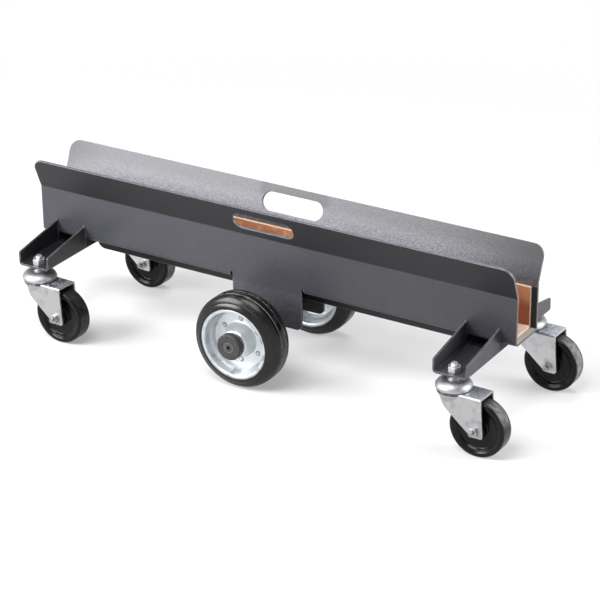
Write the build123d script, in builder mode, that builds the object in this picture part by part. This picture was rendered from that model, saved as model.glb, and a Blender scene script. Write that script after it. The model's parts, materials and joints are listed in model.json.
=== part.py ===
from build123d import *
import os
from math import atan2, cos, degrees, radians, sin, sqrt, tan

# A dolly that carries tile panels on edge in a lined channel, on two middle wheels and four swivel casters.
# Millimetres. X runs along the channel, the front is at -Y, Z is up and the floor is at Z = 0.

# Channel: two folded side plates that meet in the middle of the floor
channel_length = 900.0
channel_width = 74.0
wall_height = 82.0
lip_rise = 53.8
lip_flare = 21.5
plate_sheet = 4.0
plate_bend = 3.0
lip_corner = 20.0
hand_slot_length = 115.0
hand_slot_width = 32.0

# Tabs that hold the middle axle
tab_width = 131.0
tab_below_axle = 3.0
tab_corner = 10.0
tab_ear_wall = 7.0
relief_width = 4.0
relief_height = 10.0

# Lining boards
board = 5.0
board_end_gap = 10.0
board_top_gap = 8.0

# Cross beams and the spine rib between them
beam_from_end = 58.0
beam_width = 60.0
beam_sheet = 3.0
beam_bend = 3.0
beam_depth = 18.0
beam_reach = 106.0
beam_root_height = 43.0
beam_tip_height = 24.0
beam_tip_corner = 3.0
kingpin_from_tip = 15.0
rib_thickness = 5.0
rib_depth = 25.5
rib_corner = 15.0

# Middle wheels
wheel_diameter = 160.0
wheel_offset = 76.0
axle_diameter = 20.0
axle_tube_wall = 5.0
washer_thickness = 2.0
washer_rim = 6.0
roller_diameter = 2.95
roller_length = 40.0
roller_count = 16
cage_ring = 3.0
cage_gap = 0.4
hub_wall = 4.0
hub_length = 54.0
rim_sheet = 2.5
rim_bend = 3.0
rim_lip_width = 6.0
rim_width = 55.0
rim_ledge_inset = 12.0
rim_ledge_width = 3.0
rim_ledge_rise = 4.0
rim_taper = 2.0
rim_draft = 1.0
rim_dome_diameter = 59.0
rim_nose_diameter = 44.0
rim_nose_inset = 2.0
rivet_from_dome = 6.5
rivet_count = 6
rivet_diameter = 5.0
rivet_head_diameter = 9.0
rivet_head = 2.0
rivet_taper = 25.0
tyre_height = 19.5
tyre_side_width = 57.0
tyre_shoulder_width = 42.0
tyre_shoulder_drop = 6.0
tyre_well_width = 18.0
tyre_well_depth = 4.0
tread_width = 12.0
tread_rise = 0.6
side_groove = 1.6
side_grooves = 4
hub_cap_diameter = 44.0
hub_cap_thickness = 12.0
hub_cap_edge = 1.5
cap_screw_diameter = 8.0
cap_screw_head = 18.0
cap_screw_length = 28.0
cap_screw_hole = 20.0
socket_width = 5.0
socket_depth = 3.0

# Casters
caster_diameter = 94.0
caster_tread = 28.0
caster_trail = 47.0
caster_hub_overhang = 3.4
caster_hub_diameter = 30.0
caster_hub_draft = 1.5
caster_rim = 9.0
caster_rim_round = 2.0
caster_rim_step = 1.7
caster_web = 16.0
caster_web_slope = 3.5
bush_wall = 6.0
crown_gap = 5.5
fork_sheet = 3.0
fork_fold = 3.5
fork_rear = 57.0
fork_side_gap = 0.6
foot_front = 5.0
foot_rear = 15.0
foot_drop = 10.5
foot_corner = 4.0
race_diameter = 54.0
race_height = 5.5
race_taper = 16.5
nose_height = 8.5
ball_diameter = 6.0
ball_circle = 36.0
ball_count = 14
head_diameter = 58.0
head_height = 13.3
head_lift = 1.2
head_crown_diameter = 24.0
head_skirt = 4.0
head_bulge = 3.4
kingpin_diameter = 14.0
kingpin_shoulder = 3.0
kingpin_shoulder_height = 2.0
kingpin_collar = 8.0
kingpin_head = 7.0
thread_diameter = 12.0
thread_tip = 5.0
thread_chamfer = 0.8
kingpin_nut_flats = 19.0
kingpin_nut_height = 10.0
axle_bolt_diameter = 8.0
axle_bolt_flats = 13.0
axle_bolt_head = 5.3
axle_bolt_tip = 5.0
axle_nut_height = 6.5
nut_turn = 30.0

# Fits: radial play of running and threaded pieces, and end play beside the hubs
play = 0.05
end_play = 0.1

# Where each caster stands, and how far it has swivelled at rest, in degrees about +Z
corners = {
    "front_left": (-1, -1, -3.0),
    "front_right": (1, -1, -1.0),
    "back_left": (-1, 1, -3.0),
    "back_right": (1, 1, -1.0),
}
sides = {"front": -1, "back": 1}

# Heights, from the floor up through a caster to the channel
crown_under = caster_diameter + crown_gap
crown_top = crown_under + fork_sheet
ball_height = crown_top + ball_diameter / 2 + play
race_ceiling = ball_height + ball_diameter / 2 + play
head_rim = crown_top + head_lift
head_top = head_rim + head_height
beam_base = head_top + kingpin_collar
beam_floor = beam_base + beam_sheet
channel_base = beam_base + beam_depth
channel_floor = channel_base + plate_sheet
wall_top = channel_base + wall_height
lip_top = wall_top + lip_rise
wheel_r = wheel_diameter / 2
axle_height = wheel_r

# Places across and along
wall_out = channel_width / 2
wall_in = wall_out - plate_sheet
lip_lean = degrees(atan2(lip_flare, lip_rise))
beam_x = channel_length / 2 - beam_from_end
beam_tip = wall_out + beam_reach
kingpin_y = beam_tip - kingpin_from_tip
wheel_y = wall_out + wheel_offset

# Radii that stack up from the axle
axle_r = axle_diameter / 2
tube_r = axle_r + play + axle_tube_wall
hub_bore = axle_r + roller_diameter + 2 * play
hub_r = hub_bore + hub_wall
roller_circle = axle_r + play + roller_diameter / 2
washer_r = axle_r + washer_rim
rim_lip_r = wheel_r - tyre_height
rim_half = rim_width / 2
rim_wall_r = rim_lip_r - rim_lip_width
rim_ledge_r = rim_wall_r - rim_taper
rim_drum_r = rim_ledge_r - rim_ledge_width
rim_disc_r = rim_drum_r - rim_draft
rim_dome_r = rim_dome_diameter / 2
rivet_r = rim_dome_r + rivet_from_dome

# Stations along the middle axle, from the centreline out
hub_start = wheel_y - hub_length / 2
hub_end = wheel_y + hub_length / 2
inner_washer = hub_start - end_play - washer_thickness
outer_washer = hub_end + end_play
cap_start = outer_washer + washer_thickness
cap_end = cap_start + hub_cap_thickness

# Caster widths
hub_half = caster_tread / 2 + caster_hub_overhang
fork_in = hub_half + fork_side_gap
fork_out = fork_in + fork_sheet
fork_reach = max(fork_rear, caster_trail + foot_rear)
caster_r = caster_diameter / 2
bush_r = axle_bolt_diameter / 2 + play + bush_wall

os.makedirs("parts", exist_ok=True)


def save(piece, name):
    """Label a finished piece and write it."""
    piece.part.label = name
    export_step(piece.part, f"parts/{name}.step")


def across(y):
    """Upright plane at y, with X to the right and Z up, facing the front."""
    return Plane((0, y, 0), x_dir=(1, 0, 0), z_dir=(0, -1, 0))


def hex_blank(flats, height):
    """Hexagon prism on the floor plane, with its corners turned off at both ends."""
    corner = flats / sqrt(3)
    turned = (corner - flats / 2) * tan(radians(nut_turn))
    outline = Polyline(
        (0, 0),
        (flats / 2, 0),
        (corner, turned),
        (corner, height - turned),
        (flats / 2, height),
        (0, height),
        close=True,
    )
    prism = extrude(RegularPolygon(flats / 2, 6, major_radius=False), height)
    return prism & revolve(Plane.XZ * make_face(outline), Axis.Z)


def corner_plane(x_sign, y_sign, swivel):
    """Floor plane under a kingpin, with its x axis along the caster's trail."""
    turn = radians(swivel)
    return Plane((x_sign * beam_x, y_sign * kingpin_y, 0), x_dir=(cos(turn), sin(turn), 0))


def side_of(place, y=0.0):
    """Upright plane along the trail of a caster, y to the left of its middle, facing right."""
    return Plane(place.from_local_coords((0, y, 0)), x_dir=place.x_dir, z_dir=-place.y_dir)


def swivel_axis(place):
    """Vertical axis of a kingpin."""
    return Axis(place.origin, (0, 0, 1))


# Side plates: lip, wall, half floor and axle tab from one folded sheet
lip_plane = Plane(
    (0, -wall_out - lip_flare / 2, wall_top + lip_rise / 2),
    x_dir=(1, 0, 0),
    z_dir=(0, -cos(radians(lip_lean)), -sin(radians(lip_lean))),
)
with BuildPart() as side_plate_front:
    with BuildSketch(Plane.YZ):
        with BuildLine():
            FilletPolyline(
                (0, channel_base),
                (-wall_out, channel_base),
                (-wall_out, wall_top),
                (-wall_out - lip_flare, lip_top),
                radius=[plate_bend + plate_sheet, plate_bend],
            )
            offset(amount=plate_sheet, side=Side.RIGHT)
        make_face()
    extrude(amount=channel_length / 2, both=True)
    fillet(side_plate_front.edges().filter_by(Axis((0, 0, 0), lip_plane.z_dir)), lip_corner)
    with BuildSketch(lip_plane):
        SlotOverall(hand_slot_length, hand_slot_width)
    extrude(amount=plate_sheet * 2, both=True, mode=Mode.SUBTRACT)
    with BuildSketch(Plane.XY.offset(channel_base)):
        with Locations((0, -wall_out / 2)):
            Rectangle(tab_width + 2 * relief_width, wall_out)
    extrude(amount=relief_height, mode=Mode.SUBTRACT)
    with BuildSketch(across(-wall_in)):
        tab_bottom = axle_height - tab_below_axle
        tab_top = channel_base + relief_height
        with Locations((0, (tab_top + tab_bottom) / 2)):
            tab = Rectangle(tab_width, tab_top - tab_bottom)
        fillet(tab.vertices().group_by(Axis.Y)[0], tab_corner)
        with Locations((0, axle_height)):
            Circle(tube_r + tab_ear_wall)
            Circle(tube_r + play, mode=Mode.SUBTRACT)
    extrude(amount=plate_sheet)
save(side_plate_front, "side_plate_front")

with BuildPart() as side_plate_back:
    mirror(side_plate_front.part, about=Plane.XZ)
save(side_plate_back, "side_plate_back")

# Lining boards: one against each wall, and one between them on the floor
board_length = channel_length - 2 * board_end_gap
with BuildPart() as lining_front:
    with BuildSketch(Plane.YZ):
        with BuildLine():
            Polyline(
                (-wall_in, channel_floor + plate_bend),
                (-wall_in + plate_bend, channel_floor),
                (-wall_in + board, channel_floor),
                (-wall_in + board, wall_top - board_top_gap),
                (-wall_in, wall_top - board_top_gap),
                close=True,
            )
        make_face()
    extrude(amount=board_length / 2, both=True)
save(lining_front, "lining_front")

with BuildPart() as lining_back:
    mirror(lining_front.part, about=Plane.XZ)
save(lining_back, "lining_back")

with BuildPart() as lining_floor:
    with BuildSketch(Plane.XY.offset(channel_floor)):
        Rectangle(board_length, 2 * (wall_in - board))
    extrude(amount=board)
save(lining_floor, "lining_floor")

# Cross beams: U sections notched for the channel, with a kingpin hole at each end
for name, sign in {"left": -1, "right": 1}.items():
    left_edge = sign * beam_x - beam_width / 2
    right_edge = sign * beam_x + beam_width / 2
    beam_top = beam_base + beam_root_height
    with BuildPart() as cross_beam:
        with BuildSketch(across(0)):
            with BuildLine():
                FilletPolyline(
                    (left_edge, beam_top),
                    (left_edge, beam_base),
                    (right_edge, beam_base),
                    (right_edge, beam_top),
                    radius=beam_bend + beam_sheet,
                )
                offset(amount=beam_sheet, side=Side.LEFT)
            make_face()
        extrude(amount=beam_tip, both=True)
        with BuildSketch(Plane.YZ.offset(sign * beam_x)):
            with BuildLine():
                FilletPolyline(
                    (-beam_tip, beam_base),
                    (beam_tip, beam_base),
                    (beam_tip, beam_base + beam_tip_height),
                    (wall_out, beam_top),
                    (wall_out, channel_base),
                    (-wall_out, channel_base),
                    (-wall_out, beam_top),
                    (-beam_tip, beam_base + beam_tip_height),
                    radius=[0, 0, beam_tip_corner, 0, 0, 0, 0, beam_tip_corner],
                    close=True,
                )
            make_face()
        extrude(amount=beam_width, both=True, mode=Mode.INTERSECT)
        with BuildSketch(Plane.XY.offset(beam_base)):
            with Locations((sign * beam_x, -kingpin_y), (sign * beam_x, kingpin_y)):
                Circle(thread_diameter / 2 + play)
        extrude(amount=beam_sheet, mode=Mode.SUBTRACT)
    save(cross_beam, f"cross_beam_{name}")

# Spine rib: flat bar on edge under the floor, from beam to beam
rib_half = beam_x - beam_width / 2
with BuildPart() as spine_rib:
    with BuildSketch(across(0)):
        with Locations((0, channel_base - rib_depth / 2)):
            bar = Rectangle(2 * rib_half, rib_depth)
        fillet(bar.vertices().group_by(Axis.Y)[0], rib_corner)
    extrude(amount=rib_thickness / 2, both=True)
save(spine_rib, "spine_rib")

# Middle axle: a tube through both tabs, and the shaft inside it
with BuildPart() as axle_tube:
    with BuildSketch(across(0)):
        with Locations((0, axle_height)):
            Circle(tube_r)
            Circle(axle_r + play, mode=Mode.SUBTRACT)
    extrude(amount=inner_washer, both=True)
save(axle_tube, "axle_tube")

with BuildPart() as wheel_axle:
    with BuildSketch(across(0)):
        with Locations((0, axle_height)):
            Circle(axle_r)
    extrude(amount=cap_start, both=True)
    for end in (-1, 1):
        with BuildSketch(across(end * cap_start)):
            with Locations((0, axle_height)):
                Circle(cap_screw_diameter / 2 + play)
        extrude(amount=end * cap_screw_hole, mode=Mode.SUBTRACT)
save(wheel_axle, "wheel_axle")

with BuildPart() as axle_washers:
    for start in (inner_washer, outer_washer):
        for end in (-1, 1):
            with BuildSketch(across(end * start)):
                with Locations((0, axle_height)):
                    Circle(washer_r)
                    Circle(axle_r + play, mode=Mode.SUBTRACT)
            extrude(amount=-end * washer_thickness)
save(axle_washers, "axle_washers")

# Half profiles are drawn in a plane with the radius as x and the distance outwards as y
for name, sign in sides.items():
    centre = Plane((0, sign * wheel_y, axle_height), x_dir=(1, 0, 0), z_dir=(0, 0, sign))
    spin = Axis((0, 0, axle_height), (0, 1, 0))

    # Pressed rim half: lip, ledged wall, disc on the middle plane and a dome out to the hub
    with BuildPart() as rim_outer:
        with BuildSketch(centre):
            with BuildLine():
                FilletPolyline(
                    (hub_r + play, rim_half - rim_nose_inset),
                    (rim_nose_diameter / 2, rim_half - rim_nose_inset),
                    (rim_dome_r, rim_sheet),
                    (rim_disc_r, rim_sheet),
                    (rim_drum_r, rim_half - rim_ledge_inset - rim_ledge_rise),
                    (rim_ledge_r, rim_half - rim_ledge_inset),
                    (rim_wall_r, rim_half),
                    (rim_lip_r, rim_half),
                    radius=rim_bend,
                )
                offset(amount=rim_sheet, side=Side.RIGHT)
            make_face()
        revolve(axis=spin)
        with BuildSketch(across(sign * wheel_y)):
            with Locations((0, axle_height)):
                with PolarLocations(rivet_r, rivet_count, start_angle=-90):
                    Circle(rivet_diameter / 2 + play)
        extrude(amount=-sign * rim_half, mode=Mode.SUBTRACT)
    save(rim_outer, f"rim_outer_{name}")

    # The half on the frame side is the same pressing turned round
    with BuildPart() as rim_inner:
        mirror(rim_outer.part, about=Plane((0, sign * wheel_y, 0), z_dir=(0, 1, 0)))
    save(rim_inner, f"rim_inner_{name}")

    with BuildPart() as rim_rivets:
        for out in (-1, 1):
            with BuildSketch(across(sign * (wheel_y + out * rim_sheet))):
                with Locations((0, axle_height)):
                    with PolarLocations(rivet_r, rivet_count, start_angle=-90):
                        Circle(rivet_head_diameter / 2)
            extrude(amount=-sign * out * rivet_head, taper=rivet_taper)
        with BuildSketch(across(sign * wheel_y)):
            with Locations((0, axle_height)):
                with PolarLocations(rivet_r, rivet_count, start_angle=-90):
                    Circle(rivet_diameter / 2)
        extrude(amount=rim_sheet, both=True)
    save(rim_rivets, f"rim_rivets_{name}")

    with BuildPart() as wheel_hub:
        with BuildSketch(across(sign * hub_start)):
            with Locations((0, axle_height)):
                Circle(hub_r)
                Circle(hub_bore, mode=Mode.SUBTRACT)
        extrude(amount=-sign * hub_length)
    save(wheel_hub, f"wheel_hub_{name}")

    # Roller bearing: loose rollers between the axle and the hub, with a ring at each end
    with BuildPart() as roller_bearing:
        with BuildSketch(across(sign * (wheel_y - roller_length / 2))):
            with Locations((0, axle_height)):
                with PolarLocations(roller_circle, roller_count):
                    Circle(roller_diameter / 2)
        extrude(amount=-sign * roller_length)
        for station in (-roller_length / 2 - play - cage_ring, roller_length / 2 + play):
            with BuildSketch(across(sign * (wheel_y + station))):
                with Locations((0, axle_height)):
                    Circle(hub_bore - play)
                    Circle(axle_r + cage_gap, mode=Mode.SUBTRACT)
            extrude(amount=-sign * cage_ring)
    save(roller_bearing, f"roller_bearing_{name}")

    # Tyre: seated between the rim lips, rounded, with a narrow raised band round the middle of the tread
    seat_r = rim_wall_r + rim_sheet + end_play
    seat_half = rim_half - rim_sheet - end_play
    with BuildPart() as tyre:
        with BuildSketch(centre):
            for flip in (-1, 1):
                side = flip * tyre_side_width / 2
                band = flip * tread_width / 2
                with BuildLine():
                    Polyline(
                        (wheel_r - tread_rise, band),
                        (wheel_r, band),
                        (wheel_r, 0),
                        (seat_r - tyre_well_depth, 0),
                        (seat_r - tyre_well_depth, flip * tyre_well_width / 2),
                        (seat_r, flip * (rim_half - rim_ledge_inset)),
                        (seat_r, flip * seat_half),
                        (rim_lip_r + end_play, flip * seat_half),
                        (rim_lip_r + end_play, side),
                        (rim_lip_r + rim_sheet / 2, side),
                    )
                    sidewall = ThreePointArc(
                        (rim_lip_r + rim_sheet / 2, side),
                        (wheel_r - tyre_shoulder_drop, flip * tyre_shoulder_width / 2),
                        (wheel_r - tread_rise, band),
                    )
                make_face()
                groove_spots = [sidewall @ (n / (side_grooves + 2)) for n in range(1, side_grooves + 1)]
                with Locations(*groove_spots):
                    Circle(side_groove / 2, mode=Mode.SUBTRACT)
        revolve(axis=spin)
    save(tyre, f"tyre_{name}")

    # Hub cap and the countersunk screw that holds it to the axle
    with BuildPart() as hub_cap:
        with BuildSketch(across(sign * cap_start)):
            with Locations((0, axle_height)):
                Circle(hub_cap_diameter / 2)
                Circle(cap_screw_diameter / 2 + play, mode=Mode.SUBTRACT)
        extrude(amount=-sign * hub_cap_thickness)
        rim_edges = hub_cap.edges().filter_by(GeomType.CIRCLE).sort_by(SortBy.RADIUS)[-2:]
        chamfer(rim_edges, hub_cap_edge)
        with BuildSketch(centre):
            with BuildLine():
                face = cap_end - wheel_y
                cone = (cap_screw_head - cap_screw_diameter) / 2
                Polyline(
                    (0, face),
                    (cap_screw_head / 2 + play, face),
                    (cap_screw_diameter / 2 + play, face - cone),
                    (0, face - cone),
                    close=True,
                )
            make_face()
        revolve(axis=spin, mode=Mode.SUBTRACT)
    save(hub_cap, f"hub_cap_{name}")

with BuildPart() as cap_screws:
    for sign in sides.values():
        centre = Plane((0, sign * wheel_y, axle_height), x_dir=(1, 0, 0), z_dir=(0, 0, sign))
        with BuildSketch(centre):
            with BuildLine():
                face = cap_end - wheel_y
                cone = (cap_screw_head - cap_screw_diameter) / 2
                shank_end = face - cap_screw_length
                Polyline(
                    (0, face),
                    (cap_screw_head / 2, face),
                    (cap_screw_diameter / 2, face - cone),
                    (cap_screw_diameter / 2, shank_end),
                    (0, shank_end),
                    close=True,
                )
            make_face()
        revolve(axis=Axis((0, 0, axle_height), (0, 1, 0)))
        with BuildSketch(across(sign * cap_end)):
            with Locations((0, axle_height)):
                RegularPolygon(socket_width / 2, 6, major_radius=False)
        extrude(amount=sign * socket_depth, mode=Mode.SUBTRACT)
save(cap_screws, "hub_cap_screws")

# Blanks for the nuts and bolt heads
bolt_head = hex_blank(axle_bolt_flats, axle_bolt_head)
axle_nut = hex_blank(axle_bolt_flats, axle_nut_height)
kingpin_nut = hex_blank(kingpin_nut_flats, kingpin_nut_height)

# Casters: fixed head and kingpin, swivelling fork, rolling wheel
for name, (x_sign, y_sign, swivel) in corners.items():
    place = corner_plane(x_sign, y_sign, swivel)

    # Swivel head: a thick dome whose hollow underside runs on the balls
    with BuildPart() as swivel_head:
        with BuildSketch(side_of(place)):
            with BuildLine():
                skirt_top = head_rim + head_skirt
                Polyline(
                    (head_diameter / 2, skirt_top),
                    (head_diameter / 2, head_rim),
                    (race_diameter / 2 - fork_sheet, head_rim),
                    (race_diameter / 2 - fork_sheet, race_ceiling),
                    (kingpin_diameter / 2 + play, race_ceiling),
                    (kingpin_diameter / 2 + play, head_top),
                    (head_crown_diameter / 2, head_top),
                )
                SagittaArc((head_crown_diameter / 2, head_top), (head_diameter / 2, skirt_top), head_bulge)
            make_face()
        revolve(axis=swivel_axis(place))
    save(swivel_head, f"swivel_head_{name}")

    # Kingpin: threaded end, collar, shoulder on the head, and a riveted foot under the fork crown
    with BuildPart() as kingpin:
        with BuildSketch(side_of(place)):
            with BuildLine():
                thread_r = thread_diameter / 2
                pin_r = kingpin_diameter / 2
                shoulder_r = pin_r + kingpin_shoulder
                thread_end = beam_floor + kingpin_nut_height + thread_tip
                washer_under = crown_under - end_play / 2 - fork_sheet
                Polyline(
                    (0, thread_end),
                    (thread_r - thread_chamfer, thread_end),
                    (thread_r, thread_end - thread_chamfer),
                    (thread_r, beam_base),
                    (pin_r, beam_base),
                    (pin_r, head_top + kingpin_shoulder_height),
                    (shoulder_r, head_top + kingpin_shoulder_height),
                    (shoulder_r, head_top),
                    (pin_r, head_top),
                    (pin_r, washer_under),
                    (shoulder_r, washer_under),
                    (shoulder_r, washer_under - kingpin_head),
                    (0, washer_under - kingpin_head),
                    close=True,
                )
            make_face()
        revolve(axis=swivel_axis(place))
    save(kingpin, f"kingpin_{name}")

    # Fork: one pressing with a round crown, a rounded nose and two tapering legs
    with BuildPart() as fork:
        with BuildSketch(place):
            Circle(fork_out)
            with Locations((fork_reach / 2, 0)):
                Rectangle(fork_reach, 2 * fork_out)
        extrude(amount=crown_top)
        with BuildSketch(side_of(place)):
            with BuildLine():
                Polyline(
                    (0, crown_top),
                    (race_diameter / 2, crown_top),
                    (race_diameter / 2, crown_top - race_height),
                    (fork_in, crown_top - race_height - race_taper),
                    (0, crown_top - race_height - race_taper),
                    close=True,
                )
            make_face()
        revolve(axis=swivel_axis(place))
        with BuildSketch(side_of(place)):
            foot = caster_r - foot_drop
            nose = -race_diameter / 2
            with BuildLine():
                FilletPolyline(
                    (nose, crown_top),
                    (fork_rear, crown_top),
                    (caster_trail + foot_rear, foot),
                    (caster_trail - foot_front, foot),
                    (nose, crown_top - nose_height),
                    radius=[0, 0, foot_corner, foot_corner, 0],
                    close=True,
                )
            make_face()
        extrude(amount=race_diameter, both=True, mode=Mode.INTERSECT)
        folds = fork.faces().sort_by(Axis.Z)[-1].edges().filter_by(Axis((0, 0, 0), place.x_dir))
        fillet(folds, fork_fold)
        with BuildSketch(place):
            Circle(fork_in)
            with Locations((fork_reach, 0)):
                Rectangle(2 * fork_reach, 2 * fork_in)
        extrude(amount=crown_under, mode=Mode.SUBTRACT)
        with BuildSketch(place):
            Circle(kingpin_diameter / 2 + play)
        extrude(amount=crown_top, mode=Mode.SUBTRACT)
        with BuildSketch(side_of(place)):
            with Locations((caster_trail, caster_r)):
                Circle(axle_bolt_diameter / 2 + play)
        extrude(amount=2 * fork_out, both=True, mode=Mode.SUBTRACT)
    save(fork, f"fork_{name}")

    # Wheel: black moulding with dished sides on a plain bush
    hub_centre = place.from_local_coords((caster_trail, 0, caster_r))
    roll = Axis(hub_centre, place.y_dir)
    rolling = Plane(hub_centre, x_dir=place.x_dir, z_dir=(0, 0, 1))
    step_r = caster_r - caster_rim
    with BuildPart() as caster_wheel:
        with BuildSketch(rolling):
            for flip in (-1, 1):
                with BuildLine():
                    edge = flip * caster_tread / 2
                    web = flip * caster_web / 2
                    Polyline(
                        (bush_r + play, 0),
                        (bush_r + play, flip * hub_half),
                        (caster_hub_diameter / 2, flip * hub_half),
                        (caster_hub_diameter / 2 + caster_hub_draft, web),
                        (step_r - caster_rim_step - caster_web_slope, web),
                        (step_r - caster_rim_step, edge - flip * caster_rim_step),
                        (step_r, edge - flip * caster_rim_step),
                        (step_r + caster_rim_step, edge),
                        (caster_r - caster_rim_round, edge),
                        (caster_r, edge - flip * caster_rim_round),
                        (caster_r, 0),
                        close=True,
                    )
                make_face()
        revolve(axis=roll)
    save(caster_wheel, f"caster_wheel_{name}")

    with BuildPart() as caster_bush:
        with BuildSketch(side_of(place)):
            with Locations((caster_trail, caster_r)):
                Circle(bush_r)
                Circle(axle_bolt_diameter / 2 + play, mode=Mode.SUBTRACT)
        extrude(amount=hub_half, both=True)
    save(caster_bush, f"caster_bush_{name}")

    # Axle bolt, head on the left of the trail, with its nut on the right
    with BuildPart() as caster_bolt:
        with Locations(side_of(place, fork_out + axle_bolt_head)):
            with Locations((caster_trail, caster_r)):
                add(bolt_head)
        with BuildSketch(side_of(place, fork_out)):
            with Locations((caster_trail, caster_r)):
                Circle(axle_bolt_diameter / 2)
        extrude(amount=2 * fork_out + axle_nut_height + axle_bolt_tip)
    save(caster_bolt, f"caster_bolt_{name}")

    with BuildPart() as caster_nut:
        with Locations(side_of(place, -fork_out)):
            with Locations((caster_trail, caster_r)):
                add(axle_nut)
        with BuildSketch(side_of(place, -fork_out)):
            with Locations((caster_trail, caster_r)):
                Circle(axle_bolt_diameter / 2 + play)
        extrude(amount=axle_nut_height, mode=Mode.SUBTRACT)
    save(caster_nut, f"caster_nut_{name}")

# Pieces that are alike at every kingpin: nut, thrust washer and balls
kingpin_spots = [(x_sign * beam_x, y_sign * kingpin_y) for x_sign, y_sign, _ in corners.values()]
with BuildPart(Plane.XY.offset(beam_floor)) as kingpin_nuts:
    with Locations(*kingpin_spots):
        add(kingpin_nut)
    with BuildSketch(Plane.XY.offset(beam_floor)):
        with Locations(*kingpin_spots):
            Circle(thread_diameter / 2 + play)
    extrude(amount=kingpin_nut_height, mode=Mode.SUBTRACT)
save(kingpin_nuts, "kingpin_nuts")

with BuildPart() as crown_washers:
    with BuildSketch(Plane.XY.offset(crown_under - end_play / 2)):
        with Locations(*kingpin_spots):
            Circle(kingpin_diameter / 2 + 2 * kingpin_shoulder)
            Circle(kingpin_diameter / 2 + play, mode=Mode.SUBTRACT)
    extrude(amount=-fork_sheet)
save(crown_washers, "crown_washers")

with BuildPart(Plane.XY.offset(ball_height)) as swivel_balls:
    with Locations(*kingpin_spots):
        with PolarLocations(ball_circle / 2, ball_count):
            Sphere(ball_diameter / 2)
save(swivel_balls, "swivel_balls")
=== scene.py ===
import json
from math import cos, pi, radians, sin

import bmesh
import bpy
from mathutils import Matrix, Quaternion, Vector


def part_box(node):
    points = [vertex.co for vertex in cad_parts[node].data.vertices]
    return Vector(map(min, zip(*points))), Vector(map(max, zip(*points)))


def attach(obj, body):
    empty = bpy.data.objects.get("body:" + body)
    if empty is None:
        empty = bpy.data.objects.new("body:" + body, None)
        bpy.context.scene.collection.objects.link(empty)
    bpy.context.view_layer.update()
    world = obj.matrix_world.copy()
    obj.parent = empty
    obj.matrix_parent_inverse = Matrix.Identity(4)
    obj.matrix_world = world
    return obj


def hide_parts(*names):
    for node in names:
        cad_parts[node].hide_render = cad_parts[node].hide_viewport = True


# A dolly for tile panels: a powder-coated channel lined with boards, on two middle wheels and four casters.
# Metres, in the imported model's frame: X along the channel, the front at -Y, Z up and the floor at Z = 0.

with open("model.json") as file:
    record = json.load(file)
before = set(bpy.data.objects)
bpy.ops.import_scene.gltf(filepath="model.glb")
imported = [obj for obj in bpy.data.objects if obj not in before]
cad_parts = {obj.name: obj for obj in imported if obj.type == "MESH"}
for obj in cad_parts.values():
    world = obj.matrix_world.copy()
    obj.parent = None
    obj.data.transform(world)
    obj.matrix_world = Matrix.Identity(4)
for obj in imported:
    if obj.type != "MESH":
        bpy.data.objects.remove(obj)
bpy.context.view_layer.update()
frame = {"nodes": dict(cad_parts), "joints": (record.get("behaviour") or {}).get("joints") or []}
nodes = frame["nodes"]
joints = {joint["name"]: joint for joint in frame["joints"]}
corners = ["front_left", "front_right", "back_left", "back_right"]
mm = 0.001

# Sizes and places that the finishes and the pieces go by
wall_y = 37 * mm
wall_top = 225 * mm
plate_end = 450 * mm
lining_end = 440 * mm
lining_top = 217 * mm
channel_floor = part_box("lining_floor")[0].z
wheel_y = abs(joints["wheel_roll_front"]["pos_m"][1])
tyre_r = 80 * mm
band_half = 6 * mm
rivet_circle = 36 * mm
rivet_count = 6
caster_r = 47 * mm

# Round surfaces of the CAD nodes are shaded smooth, and corners sharper than this stay sharp
crease = radians(28)
for node in nodes.values():
    node.data.shade_smooth()
    node.data.set_sharp_from_angle(angle=crease)


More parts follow.
